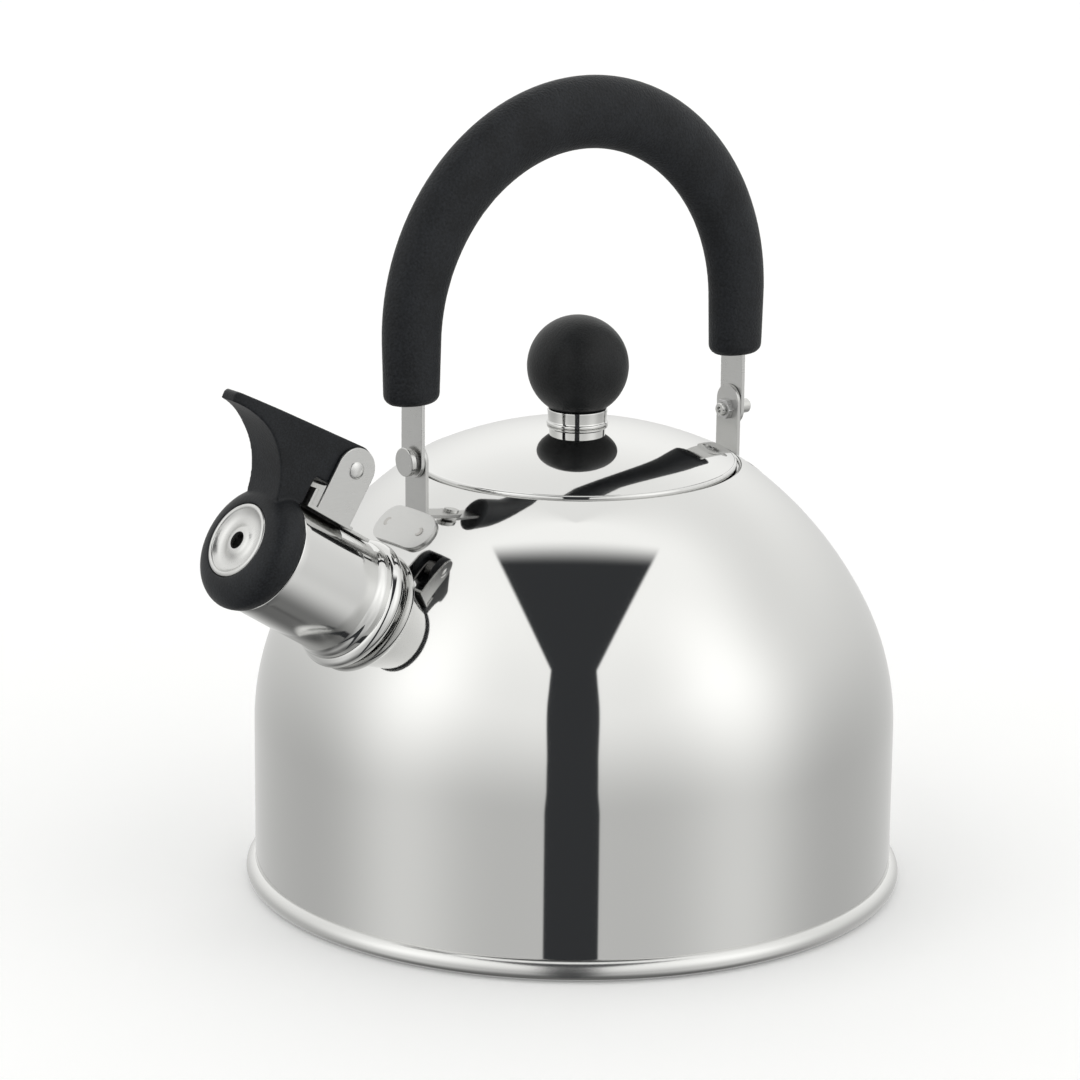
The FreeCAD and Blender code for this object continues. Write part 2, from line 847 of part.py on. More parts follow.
def spout_part(label, steps):
    """A piece turned about the spout axis: steps are (along the axis, radius)."""
    return in_spout_frame(turned_about_x(label, steps))


tube_bore = tube_radius - wall
mouth = size["mouth_setback"]
mouth_radius = tube_radius - size["mouth_curl"]
flare_radius = tube_radius + size["flare_rise"]
bead_half = size["bead_half_width"]
bead_back = nose_reach - crown_reach(flare_radius) - size["bead_gap"]
bead_front = bead_back - bead_half * 2
flare_run = as_dim(1.6)
flare_start = bead_front - flare_run * 2 - 1.4
flare_curl = (flare_run * flare_run + size["flare_rise"] * size["flare_rise"] / 4) / size["flare_rise"]
bead_minor = ((bead_radius - flare_radius) * (bead_radius - flare_radius) + bead_half * bead_half) / (
    2 * (bead_radius - flare_radius))
collar_radius = tube_radius + size["collar_width"]
neck_end = nose_reach - crown_reach(-collar_radius, wall) + size["collar_gap"]
spout_part("spout_tube", [
    (mouth, mouth_radius),
    (mouth, tube_radius - 0.5),
    (mouth + 0.5, tube_radius, 0.5, -1),
    (flare_start, tube_radius),
    (flare_start + flare_run, tube_radius + size["flare_rise"] / 2, flare_curl, 1),
    (flare_start + flare_run * 2, flare_radius, flare_curl, -1),
    (bead_front, flare_radius),
    (bead_back - bead_half, bead_radius, bead_minor, -1),
    (bead_back, flare_radius, bead_minor, -1),
    (bead_back, tube_radius),
    (neck_end, tube_radius),
    (neck_end, collar_radius),
    (neck_end + wall, collar_radius),
    (neck_end + wall, tube_bore),
    (mouth + wall, tube_bore),
    (mouth + wall, mouth_radius),
])


def cut_spout_hole():
    """Open the body where the spout's neck passes through it."""
    drill = doc.addObject("Part::Cylinder", "spout_hole")
    drill.setExpression("Radius", (tube_radius + size["spout_hole_clearance"]).formula)
    drill.Height = 40
    turn = Rotation(Vector(0, 1, 0), 90 + tilt.number)
    drill.Placement = Placement(Vector(), turn)
    drill.setExpression("Placement.Rotation.Angle", (tilt + 90).formula)
    start = mouth_reach + 20
    drill.setExpression("Placement.Base.x", (-(start * cosine(tilt))).formula)
    drill.setExpression("Placement.Base.z", (axis_height + start * sine(tilt)).formula)
    shell = doc.addObject("Part::Cut", "body_shell")
    shell.Base = body_blank
    shell.Tool = drill
    shell.Label = "body_shell"
    nodes.append(shell)


cut_spout_hole()


# ---------------------------------------------------------------- whistle hinge

pin_s = size["pin_setback"]
pin_h = tube_radius + size["pin_rise"]
ear_half = size["ear_half_width"]
lever_width = size["lever_width"]
ear_inner = lever_width + size["ear_gap"] * 2
ear_outer = ear_inner + size["ear_thickness"] * 2
plate_bottom = tube_radius + 0.05
plate_top = plate_bottom + size["hinge_plate"]
hook_front = mouth + 0.3
hook_back = hook_front + size["hinge_plate"]


def make_hinge_bracket():
    """Stamped channel on top of the tube: plate, two ears, front hook and rear tongue."""
    body = in_spout_frame(new_body("hinge_bracket"))
    ears = outline(new_sketch(body, "ear_outline", "XZ_Plane"), [
        (pin_s - ear_half, plate_bottom),
        (pin_s + ear_half, plate_bottom),
        (pin_s + ear_half, pin_h),
        (pin_s, pin_h + ear_half, ear_half, 1),
        (pin_s - ear_half, pin_h, ear_half, 1),
    ])
    pad(body, ears, ear_outer)
    inside = outline(new_sketch(body, "ear_inside", "XZ_Plane"), [
        (pin_s - ear_half - 1, plate_top),
        (pin_s + ear_half + 1, plate_top),
        (pin_s + ear_half + 1, pin_h + ear_half + 1),
        (pin_s - ear_half - 1, pin_h + ear_half + 1),
    ])
    pocket(body, inside, ear_inner)
    hook = outline(new_sketch(body, "plate_and_hook", "XZ_Plane"), [
        (hook_front, plate_bottom),
        (pin_s + ear_half + 1.4, plate_bottom),
        (pin_s + ear_half + 1.4, plate_top),
        (hook_back, plate_top),
        (hook_back, plate_bottom + size["hook_height"]),
        (hook_front, plate_bottom + size["hook_height"]),
    ])
    pad(body, hook, ear_outer)
    tongue = outline(new_sketch(body, "tongue_side", "XZ_Plane"), [
        (pin_s + ear_half, plate_bottom),
        (bead_front - 4.8, plate_bottom),
        (bead_front - 4.8, plate_top),
        (pin_s + ear_half, plate_top),
    ])
    pad(body, tongue, size["tongue_width"])
    pin_hole = size["pin_radius"] + size["pivot_clearance"]
    pocket(body, circle(new_sketch(body, "ear_holes", "XZ_Plane"), pin_s, pin_h, pin_hole))


make_hinge_bracket()


def make_hinge_pin():
    body = in_spout_frame(new_body("hinge_pin"))
    sketch = circle(new_sketch(body, "pin_circle", "XZ_Plane"), pin_s, pin_h, size["pin_radius"])
    pad(body, sketch, ear_outer + 0.8)
    round_edges(body, 0.4, lambda edge: len(edge.Vertexes) == 1)


make_hinge_pin()


def make_spring():
    """Torsion spring round the pin: one leg on the bracket plate, one under the lever.

    The wire's middle line is a smooth curve through a straight leg, the coil and a second leg.
    """
    radius = size["spring_radius"].number
    wire = size["spring_wire"].number
    turns = size["spring_turns"].number
    pitch = wire * 2 + 0.3
    coil_length = pitch * turns
    points_per_turn = 8
    leg_steps = 2
    low_leg = pin_h.number - plate_top.number - wire
    high_leg = radius + 2.2
    points = [Vector(radius, -low_leg * (leg_steps - i) / leg_steps, 0) for i in range(leg_steps)]
    for i in range(round(points_per_turn * turns) + 1):
        angle = 2 * math.pi * i / points_per_turn
        height = pitch * i / points_per_turn
        points.append(Vector(radius * math.cos(angle), radius * math.sin(angle), height))
    last = points[-1]
    points += [last + Vector(0, -high_leg * (i + 1) / leg_steps, 0) for i in range(leg_steps)]
    line = Part.BSplineCurve()
    line.interpolate(points)
    section = Part.Wire(Part.makeCircle(wire, points[0], Vector(0, 1, 0)))
    spring = doc.addObject("Part::Feature", "hinge_spring")
    spring.Shape = Part.Wire(line.toShape()).makePipeShell([section], True, False)
    middle = Vector(pin_s.number, coil_length / 2, pin_h.number)
    spring.Placement = lever.Placement.multiply(Placement(middle, Rotation(Vector(1, 0, 0), 90)))
    spring.Label = "hinge_spring"
    nodes.append(spring)


# ---------------------------------------------------------------- whistle

nose_radius = tube_radius + size["nose_swell"]
nose_setback = size["nose_setback"]
nose_rim = tube_radius + size["nose_rim_step"]
nose_back = mouth - 0.3
disc_radius = size["disc_radius"]
nose_bore = disc_radius + 0.1
seal_outer = tube_radius - size["seal_inset"]
seal_inner = seal_outer - size["seal_width"]
seal_back = mouth - size["seal_lip_gap"]
seal_front = seal_back - size["seal_thickness"]


def make_lever():
    """One moulding: the round nose that caps the spout, and the thumb lever above it."""
    body = in_spout_frame(new_body("whistle_lever"))
    front = as_dim(-0.2)
    nose = outline(new_sketch(body, "nose_outline", "XZ_Plane"), [
        (front, nose_bore),
        (nose_back, nose_bore),
        (nose_back, seal_inner),
        (seal_front, seal_inner),
        (seal_front, seal_outer + 0.1),
        (nose_back, seal_outer + 0.1),
        (nose_back, nose_rim),
        (nose_setback, nose_radius, 9.0, 1),
        (front, nose_bore + 0.5, 6.9, 1),
    ])
    revolve(body, nose, "H_Axis")
    corner = size["lever_corner"]
    tip_s = -size["lever_tip_reach"]
    tip_h = pin_h + size["lever_tip_rise"]
    front_radius = size["lever_front_radius"]
    socket_top = nose_bore + size["lever_socket_wall"]
    back_face = mouth - 0.6
    heel = pin_h - size["lever_heel_drop"]
    side = outline(new_sketch(body, "lever_side", "XZ_Plane"), [
        (2.4, socket_top),
        (seal_front - 0.3, socket_top),
        (seal_front - 0.3, nose_rim - 0.4),
        (back_face, nose_rim - 0.4),
        (back_face, heel),
        (back_face + 1.0, heel + 1.0, 1.0, -1),
        (pin_s, pin_h - corner),
        (pin_s + corner, pin_h, corner, 1),
        (pin_s, pin_h + corner, corner, 1),
        (tip_s + 1.2, tip_h + 0.2),
        (tip_s, tip_h - 1.4, 1.7, 1),
        (tip_s + 0.3, tip_h - 3.0),
        (0.7, socket_top, front_radius, -1),
    ])
    pad(body, side, lever_width)
    half = lever_width / 2
    taper_start = -size["lever_taper_start"]
    tip_half = size["lever_tip_half_width"]
    for name, hand in (("near_taper", -1), ("far_taper", 1)):
        taper = outline(new_sketch(body, name, "XY_Plane"), [
            (taper_start, hand * half),
            (tip_s - 2, hand * tip_half, size["lever_taper_radius"], hand),
            (tip_s - 2, hand * (half + 2)),
            (taper_start, hand * (half + 2)),
        ])
        pocket(body, taper)
    bore = circle(new_sketch(body, "pin_bore", "XZ_Plane"), pin_s, pin_h, size["pin_radius"] + 0.08)
    pocket(body, bore)
    reach = size["spring_slot_radius"]
    slot = outline(new_sketch(body, "spring_slot", "XZ_Plane"), [
        (pin_s - reach, pin_h - corner - 2),
        (pin_s + corner + 1, pin_h - corner - 2),
        (pin_s + corner + 1, pin_h + reach),
        (pin_s - reach, pin_h + reach),
    ])
    pocket(body, slot, size["spring_slot_width"])
    return body


lever = make_lever()

disc_wall = size["disc_wall"]
whistle_hole = size["whistle_hole_radius"]
disc_back = size["nose_setback"]
groove_radius = disc_radius - 1.9
groove_curl = size["disc_groove_curl"]
boss_radius = size["disc_boss_radius"]
boss_curl = size["disc_boss_curl"]
boss_top = 0.1
boss_edge = boss_top + size["disc_boss_drop"]
spout_part("whistle_front_disc", [
    (boss_top, whistle_hole),
    (boss_edge, boss_radius, boss_curl, -1),
    (0.5, groove_radius, groove_curl, 1),
    (0.0, disc_radius - 1.4),
    (-0.5, disc_radius - 0.9, 0.6, -1),
    (0.0, disc_radius, 0.9, -1),
    (disc_back, disc_radius),
    (disc_back, disc_radius - disc_wall),
    (0.9, disc_radius - disc_wall),
    (0.5 + disc_wall, groove_radius),
    (boss_edge + disc_wall, boss_radius, groove_curl, -1),
    (boss_top + disc_wall, whistle_hole, boss_curl, 1),
])
chamber = size["chamber_depth"]
back_disc_radius = disc_radius - disc_wall
spout_part("whistle_back_disc", [
    (chamber, whistle_hole),
    (chamber, back_disc_radius),
    (chamber + disc_wall, back_disc_radius),
    (chamber + disc_wall, whistle_hole),
])
spout_part("whistle_seal", [
    (seal_front, seal_inner),
    (seal_front, seal_outer),
    (seal_back, seal_outer),
    (seal_back, seal_inner),
])


# ---------------------------------------------------------------- check and write

doc.recompute()
make_spring()
doc.recompute()

failed = [item.Label for item in doc.Objects if {"Invalid", "Error"} & set(item.State)]
if failed:
    raise RuntimeError("failed to build: " + ", ".join(failed))
for node in nodes:
    if node.Shape.isNull() or not node.Shape.isValid() or not node.Shape.Solids:
        raise RuntimeError(node.Label + " has no valid solid")

os.makedirs("parts", exist_ok=True)
for node in nodes:
    node.Shape.exportStep(f"parts/{node.Label}.step")
    print(node.Label, round(node.Shape.Volume, 1), len(node.Shape.Solids))
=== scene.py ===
"""Looks of a stovetop whistling kettle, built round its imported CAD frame.

The sections follow the kettle as it is put together: body, base, spout, brackets, pivots,
whistle hinge, lid, knob, handle and whistle. The floor, the light and the camera come last.
"""
import json
import math

import bmesh
import bpy
import numpy as np
from mathutils import Matrix, Vector

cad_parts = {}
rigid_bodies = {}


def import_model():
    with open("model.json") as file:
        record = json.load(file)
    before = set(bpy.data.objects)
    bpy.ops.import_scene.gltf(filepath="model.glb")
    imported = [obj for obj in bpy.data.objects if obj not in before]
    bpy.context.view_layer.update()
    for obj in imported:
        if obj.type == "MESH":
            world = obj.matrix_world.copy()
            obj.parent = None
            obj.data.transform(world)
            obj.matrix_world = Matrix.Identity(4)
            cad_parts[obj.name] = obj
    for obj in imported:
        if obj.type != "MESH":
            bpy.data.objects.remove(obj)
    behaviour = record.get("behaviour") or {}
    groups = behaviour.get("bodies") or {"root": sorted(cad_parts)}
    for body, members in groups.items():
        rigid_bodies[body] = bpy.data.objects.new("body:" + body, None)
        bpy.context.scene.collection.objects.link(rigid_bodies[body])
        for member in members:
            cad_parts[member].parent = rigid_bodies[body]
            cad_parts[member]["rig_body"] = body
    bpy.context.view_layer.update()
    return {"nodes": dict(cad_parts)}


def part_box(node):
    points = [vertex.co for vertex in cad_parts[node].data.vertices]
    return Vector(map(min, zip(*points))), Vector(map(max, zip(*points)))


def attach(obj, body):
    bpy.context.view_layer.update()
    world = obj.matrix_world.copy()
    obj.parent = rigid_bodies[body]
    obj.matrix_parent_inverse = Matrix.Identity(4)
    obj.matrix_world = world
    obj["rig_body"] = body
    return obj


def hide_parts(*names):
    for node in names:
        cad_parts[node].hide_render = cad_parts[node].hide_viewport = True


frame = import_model()
MM = 0.001


# ---------------------------------------------------------------- drawn body shell
# The body is one deep-drawn stainless shell, spun smooth and buffed to a mirror, with its
# lip and lid seat rolled in. It is a closed surface turned about the upright axis.

class Value:
    """One socket of a shader: sums, products and comparisons of values add their Math nodes."""

    def __init__(self, tree, socket):
        self.tree = tree
        self.socket = socket

    def math(self, operation, *others):
        maths = self.tree.nodes.new("ShaderNodeMath")
        maths.operation = operation
        for slot, item in zip(maths.inputs, (self,) + others):
            feed(self.tree, slot, item)
        return Value(self.tree, maths.outputs[0])

    def __add__(self, other):
        return self.math("ADD", other)

    def __sub__(self, other):
        return self.math("SUBTRACT", other)

    def __mul__(self, other):
        return self.math("MULTIPLY", other)

    def __truediv__(self, other):
        return self.math("DIVIDE", other)

    def __pow__(self, other):
        return self.math("POWER", other)

    def __rsub__(self, other):
        return (self * -1.0) + other

    __radd__ = __add__
    __rmul__ = __mul__

    def __abs__(self):
        return self.math("ABSOLUTE")

    def smooth(self, low, high):
        """0 below low, 1 above high, and an eased rise between them."""
        return shade(self.tree, "ShaderNodeMapRange", {"interpolation_type": "SMOOTHSTEP"},
                     {"Value": self, "From Min": low, "From Max": high})


def feed(tree, slot, item):
    """Link a value to a socket, or set the socket to a plain number, colour or vector."""
    if isinstance(item, Value):
        tree.links.new(item.socket, slot)
    elif item is not None:
        slot.default_value = item


def shade(tree, kind, settings=None, inputs=None, output=0):
    """Add one node: its settings first, then its sockets by name or number."""
    made = tree.nodes.new(kind)
    for name, setting in (settings or {}).items():
        setattr(made, name, setting)
    for name, item in (inputs or {}).items():
        feed(tree, made.inputs[name], item)
    return Value(tree, made.outputs[output]) if made.outputs else None


def new_finish(name):
    """An empty material with its shader; returns the material, its tree and the shader node."""
    material = bpy.data.materials.new(name)
    material.use_nodes = True
    tree = material.node_tree
    return material, tree, tree.nodes["Principled BSDF"]


def place_on(tree, scale=(1.0, 1.0, 1.0)):
    """Object coordinates in metres, stretched by a scale along each axis."""
    spot = shade(tree, "ShaderNodeTexCoord", output=3)
    return shade(tree, "ShaderNodeMapping", None, {"Vector": spot, "Scale": scale})


def noise(tree, spot, scale, detail=3.0, roughness=0.5):
    return shade(tree, "ShaderNodeTexNoise", None,
                 {"Vector": spot, "Scale": scale, "Detail": detail, "Roughness": roughness})


def blend_colours(tree, factor, first, second):
    """A Mix node for colours; its colour sockets have no names of their own."""
    return shade(tree, "ShaderNodeMix", {"data_type": "RGBA"},
                 {0: factor, 6: first, 7: second}, output=2)


def bump(tree, height, distance):
    return shade(tree, "ShaderNodeBump", None,
                 {"Height": height, "Distance": distance, "Strength": 1.0})


def polished_steel(name, roughness, around_z=True):
    """Buffed stainless: faint cloudy colour, fine buffing rings round the piece, a few haze marks."""
    material, tree, shader = new_finish(name)
    cloud = noise(tree, place_on(tree), 14.0, 4.0)
    rings_scale = (40.0, 40.0, 2600.0) if around_z else (900.0, 900.0, 900.0)
    rings = noise(tree, place_on(tree, rings_scale), 1.0, 2.0)
    haze = noise(tree, place_on(tree), 420.0, 5.0, 0.7).smooth(0.62, 0.8)
    feed(tree, shader.inputs["Base Color"],
         blend_colours(tree, cloud, (0.655, 0.655, 0.645, 1), (0.69, 0.69, 0.683, 1)))
    feed(tree, shader.inputs["Roughness"], roughness + cloud * 0.018 + rings * 0.012 + haze * 0.03)
    shader.inputs["Metallic"].default_value = 1.0
    feed(tree, shader.inputs["Normal"], bump(tree, rings, 0.0000004))
    return material


def wear(material, *nodes):
    """Give CAD nodes a finish."""
    for name in nodes:
        for holder in frame["nodes"][name].material_slots:
            holder.material = material


def grid_piece(name, points, body, finish, loop=False):
    """A piece from a grid of points (rows, columns, 3), whose columns wrap round the axis.

    Rows run along the profile and columns round it. A loop joins its last row to its first;
    otherwise the first and last rows close in a fan.
    """
    rows, columns = points.shape[:2]
    strips = rows if loop else rows - 1
    row, column = np.meshgrid(np.arange(strips), np.arange(columns), indexing="ij")
    beside = (column + 1) % columns
    above = (row + 1) % rows
    quads = np.stack([row * columns + column, row * columns + beside,
                      above * columns + beside, above * columns + column], -1).reshape(-1, 4)
    faces = quads.tolist()
    if not loop:
        faces.append(list(range(columns))[::-1])
        faces.append([(rows - 1) * columns + index for index in range(columns)])
    mesh = bpy.data.meshes.new(name)
    mesh.from_pydata(points.reshape(-1, 3).tolist(), [], faces)
    work = bmesh.new()
    work.from_mesh(mesh)
    bmesh.ops.recalc_face_normals(work, faces=work.faces)
    work.to_mesh(mesh)
    work.free()
    mesh.shade_smooth()
    mesh.materials.append(finish)
    piece = bpy.data.objects.new(name, mesh)
    bpy.context.scene.collection.objects.link(piece)
    if body:
        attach(piece, body)
    return piece


def turned_points(profile, middle, axis, across, steps=40):
    """Profile rows (distance from the axis, height along it) carried round an axis at a middle."""
    profile = np.array(profile)
    axis, across, middle = (np.array(item, float) for item in (axis, across, middle))
    third = np.cross(axis, across)
    turn = np.arange(steps) * 2 * math.pi / steps
    ring = np.cos(turn)[:, None] * across + np.sin(turn)[:, None] * third
    return middle + profile[:, 0, None, None] * ring[None] + profile[:, 1, None, None] * axis


def upright(profile):
    """A profile in millimetres (radius, height) turned about the kettle's own axis."""
    return turned_points(np.array(profile) * MM, (0, 0, 0), (0, 0, 1), (1, 0, 0), 288)


def crease(piece):
    """Keep edges over 25 degrees crisp in the shading."""
    piece.data.set_sharp_from_angle(angle=math.radians(25))


def arc(centre, radius, start, end, steps):
    """Points (distance, height) on an arc round a centre, between two angles in degrees."""
    turn = np.radians(np.linspace(start, end, steps + 1))
    return list(zip(centre[0] + radius * np.cos(turn), centre[1] + radius * np.sin(turn)))


def line(start, end, steps):
    """Evenly spaced points from a start up to, but not including, an end."""
    return [tuple(point) for point in np.linspace(start, end, steps + 1)[:-1]]


def bent(start, end, radius, steps, side=1):
    """Points on the arc of a radius from start to end, bulging to the right of the way there.

    The centre lies on the chord's left, or on its right when side is -1.
    """
    start, end = np.array(start, float), np.array(end, float)
    chord = end - start
    length = np.hypot(*chord)
    left = np.array((-chord[1], chord[0])) / length * side
    centre = (start + end) / 2 + left * math.sqrt(radius ** 2 - (length / 2) ** 2)
    half = math.asin(length / 2 / radius)
    turn = np.linspace(-half, half, steps + 1)
    out = -left[None] * np.cos(turn)[:, None] + (chord / length)[None] * np.sin(turn)[:, None]
    return [tuple(point) for point in centre + out * radius]


# sizes in millimetres, as (radius, height) where there are two
body_radius = 95.0
wall = 0.8
flange_radius = 96.6
shoulder_centre = (17.1, 48.0)
shoulder_radius = 77.9
shoulder_sweep = 26.5
crown_centre = (-14.7595, 32.1154)
crown_radius = 113.5
lip_radius = 48.4
lip_round = 0.9
seat_width = 4.3
seat_depth = 2.1
neck_depth = 5.0
body_low, body_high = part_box("body_shell")
flange_foot = body_low.z / MM
lip_height = body_high.z / MM
neck_outer = lip_radius - lip_round
neck_inner = neck_outer - seat_width
seat_height = lip_height - seat_depth
neck_bottom = seat_height - neck_depth
inner_radius = body_radius - wall
lip_angle = math.degrees(math.acos((lip_radius - crown_centre[0]) / crown_radius))
inner_lip_angle = math.degrees(math.acos((lip_radius - crown_centre[0]) / (crown_radius - wall)))

# up the outside, over the lip, down to the lid seat and the neck, and back down the inside
body_profile = (
    [(inner_radius, flange_foot), (flange_radius, flange_foot), (flange_radius, flange_foot + wall)]
    + line((body_radius, flange_foot + wall), (body_radius, shoulder_centre[1]), 16)
    + arc(shoulder_centre, shoulder_radius, 0.0, shoulder_sweep, 30)[:-1]
    + arc(crown_centre, crown_radius, shoulder_sweep, lip_angle, 34)[:-1]
    + arc((lip_radius, lip_height - lip_round), lip_round, 90.0, 180.0, 8)
    + [(neck_outer, seat_height), (neck_inner, seat_height), (neck_inner, neck_bottom),
       (neck_inner + wall, neck_bottom), (neck_inner + wall, seat_height - wall),
       (lip_radius, seat_height - wall)]
    + arc(crown_centre, crown_radius - wall, inner_lip_angle, shoulder_sweep, 16)
    + arc(shoulder_centre, shoulder_radius - wall, shoulder_sweep, 0.0, 14)[1:]
    + line((inner_radius, shoulder_centre[1]), (inner_radius, flange_foot), 8)[1:])
body_finish = polished_steel("polished_body_steel", 0.028)
body = grid_piece("drawn_body", upright(body_profile), "kettle", body_finish, loop=True)
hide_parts("body_shell")

# the spout's hole, bored along the spout's axis with its edge inside the tube's wall
spout_tilt = math.radians(32.5)
spout_axis = (math.cos(spout_tilt), 0.0, -math.sin(spout_tilt))
disc_low, disc_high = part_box("whistle_back_disc")
disc_middle = (disc_low + disc_high) / 2
bore_radius = 16.6 * MM
bore_profile = [(bore_radius, 15 * MM), (bore_radius, 75 * MM)]
bore = grid_piece("spout_bore", turned_points(bore_profile, disc_middle, spout_axis, (0, 1, 0), 144),
                  None, body_finish)
cut = body.modifiers.new("spout_hole", "BOOLEAN")
cut.solver = "EXACT"
cut.object = bore
bored_body = body.evaluated_get(bpy.context.evaluated_depsgraph_get())
body.data = bpy.data.meshes.new_from_object(bored_body)
body.modifiers.clear()
crease(body)
bpy.data.objects.remove(bore)


# ---------------------------------------------------------------- base pan, heat disc and cap
# A pan is seamed round the shell's flange as a rolled bead. Under it an aluminium disc, held
# in a thin steel cap, spreads the heat and is the foot that the kettle stands on.

def turned_metal(name, colour, roughness, rings_per_metre):
    """Metal turned or spun about the kettle's own axis: fine rings at even radii."""
    material, tree, shader = new_finish(name)
    spot = place_on(tree, (1.0, 1.0, 0.0))
    radius = shade(tree, "ShaderNodeVectorMath", {"operation": "LENGTH"}, {0: spot}, output=1)
    rings = (radius * (rings_per_metre * 2 * math.pi)).math("SINE")
    grain = noise(tree, place_on(tree), 900.0, 4.0)
    tone = noise(tree, place_on(tree), 30.0)
    darker = tuple(part * 0.86 for part in colour) + (1,)
    feed(tree, shader.inputs["Base Color"], blend_colours(tree, tone, darker, colour + (1,)))
    feed(tree, shader.inputs["Roughness"], roughness + grain * 0.12)
    shader.inputs["Metallic"].default_value = 1.0
    feed(tree, shader.inputs["Normal"], bump(tree, rings * 0.5 + grain, 0.000006))
    return material


pan_slot = 0.02
pan_top = 4.0
pan_centre = 0.05
step_radius = body_radius - 7.0
step_foot_radius = step_radius + 3.0
step_low = pan_top - 1.6
seam_foot = 0.6
seam_start = body_radius + 1.0
seam_lower_curl = 2.9
seam_upper_curl = 3.4
seam_side = (body_radius + 2.7, seam_foot + 2.6)
seam_top = (body_radius + 0.3, 6.3)
slot_floor = flange_foot - pan_slot
slot_ceiling = flange_foot + wall + pan_slot

# out along the underside, round the bead, into the flange's slot, and back along the inside
pan_profile = (
    [(pan_centre, pan_top)]
    + line((1.0, pan_top), (step_radius, pan_top), 12)
    + [(step_radius, pan_top), (step_foot_radius, step_low), (body_radius - 2.0, step_low)]
    + line((body_radius - 0.6, seam_foot), (seam_start, seam_foot), 2)
    + bent((seam_start, seam_foot), seam_side, seam_lower_curl, 10)[:-1]
    + bent(seam_side, seam_top, seam_upper_curl, 14)
    + [(body_radius + pan_slot, seam_top[1]), (body_radius + pan_slot, slot_ceiling),
       (flange_radius + pan_slot, slot_ceiling), (flange_radius + pan_slot, slot_floor),
       (step_foot_radius + 0.6, slot_floor), (step_radius + 0.8, pan_top + wall)]
    + line((step_radius, pan_top + wall), (1.0, pan_top + wall), 6)
    + [(pan_centre, pan_top + wall)])
pan = grid_piece("seamed_base_pan", upright(pan_profile), "kettle",
                 polished_steel("polished_seam_steel", 0.2))
crease(pan)
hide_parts("base_pan")
wear(turned_metal("milled_aluminium", (0.72, 0.72, 0.73), 0.3, 1800.0), "heat_disc")
wear(turned_metal("spun_cap_steel", (0.6, 0.6, 0.59), 0.24, 1400.0), "base_cap")


# ---------------------------------------------------------------- spout tube
# A drawn tube with a flared, beaded collar, pushed through the shell and welded inside. It is
# polished, with faint lines running round it from the spinning.

tube_radius = 17.0
tube_bore = tube_radius - wall
mouth = 10.0
mouth_radius = tube_radius - 2.2
flare_start = 38.9063
flare_run = 1.6
flare_rise = 0.9
flare_radius = tube_radius + flare_rise
flare_curl = (flare_run ** 2 + flare_rise ** 2 / 4) / flare_rise
bead_front = 43.5063
bead_half = 2.3
bead_back = bead_front + bead_half * 2
bead_radius = tube_radius + 2.5
bead_curl = ((bead_radius - flare_radius) ** 2 + bead_half ** 2) / (2 * (bead_radius - flare_radius))
neck_end = 50.982
collar_radius = tube_radius + 1.6
flare_middle = (flare_start + flare_run, tube_radius + flare_rise / 2)
flare_end = (flare_start + flare_run * 2, flare_radius)

# (distance down the spout's axis from the whistle's front, radius): the outside, then the bore
tube_profile = (
    [(mouth, mouth_radius), (mouth, tube_radius - 0.5)]
    + bent((mouth, tube_radius - 0.5), (mouth + 0.5, tube_radius), 0.5, 5, -1)[1:]
    + line((mouth + 0.5, tube_radius), (flare_start, tube_radius), 14)[1:]
    + bent((flare_start, tube_radius), flare_middle, flare_curl, 6)
    + bent(flare_middle, flare_end, flare_curl, 6, -1)[1:]
    + bent((bead_front, flare_radius), (bead_back - bead_half, bead_radius), bead_curl, 12, -1)
    + bent((bead_back - bead_half, bead_radius), (bead_back, flare_radius), bead_curl, 12, -1)[1:]
    + line((bead_back, flare_radius), (bead_back, tube_radius), 2)[1:]
    + line((bead_back, tube_radius), (neck_end, tube_radius), 3)
    + [(neck_end, tube_radius), (neck_end, collar_radius), (neck_end + wall, collar_radius)]
    + line((neck_end + wall, tube_bore), (mouth + wall, tube_bore), 8)
    + [(mouth + wall, tube_bore), (mouth + wall, mouth_radius)])
back_disc_depth = 5.25 * MM
spout_front = np.array(disc_middle) - np.array(spout_axis) * back_disc_depth
tube_rows = np.array(tube_profile)[:, ::-1] * MM
tube = grid_piece("drawn_spout", turned_points(tube_rows, spout_front, spout_axis, (0, 1, 0), 192),
                  "kettle", polished_steel("polished_spout_steel", 0.045, around_z=False),
                  loop=True)
crease(tube)
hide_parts("spout_tube")


# ---------------------------------------------------------------- handle brackets
# Each bracket is a bent strip of satin steel: a tab with a round top and an oval foot that is
# spot-welded to the crown in two places. Its cut edges are tumbled, so they are eased.

def satin_steel(name, colour=(0.62, 0.62, 0.61), roughness=0.24, grain_scale=(260.0, 260.0, 2600.0)):
    """Brushed stainless: grain stretched along one way, smudges, and brighter worn patches."""
    material, tree, shader = new_finish(name)
    grain = noise(tree, place_on(tree, grain_scale), 1.0, 4.0, 0.65)
    smudge = noise(tree, place_on(tree), 160.0, 3.0)
    dull = tuple(part * 0.84 for part in colour) + (1,)
    feed(tree, shader.inputs["Base Color"],
         blend_colours(tree, grain * 0.6 + smudge * 0.4, dull, colour + (1,)))
    feed(tree, shader.inputs["Roughness"], roughness + grain * 0.1 + smudge * 0.08)
    shader.inputs["Metallic"].default_value = 1.0
    feed(tree, shader.inputs["Normal"], bump(tree, grain, 0.000012))
    return material


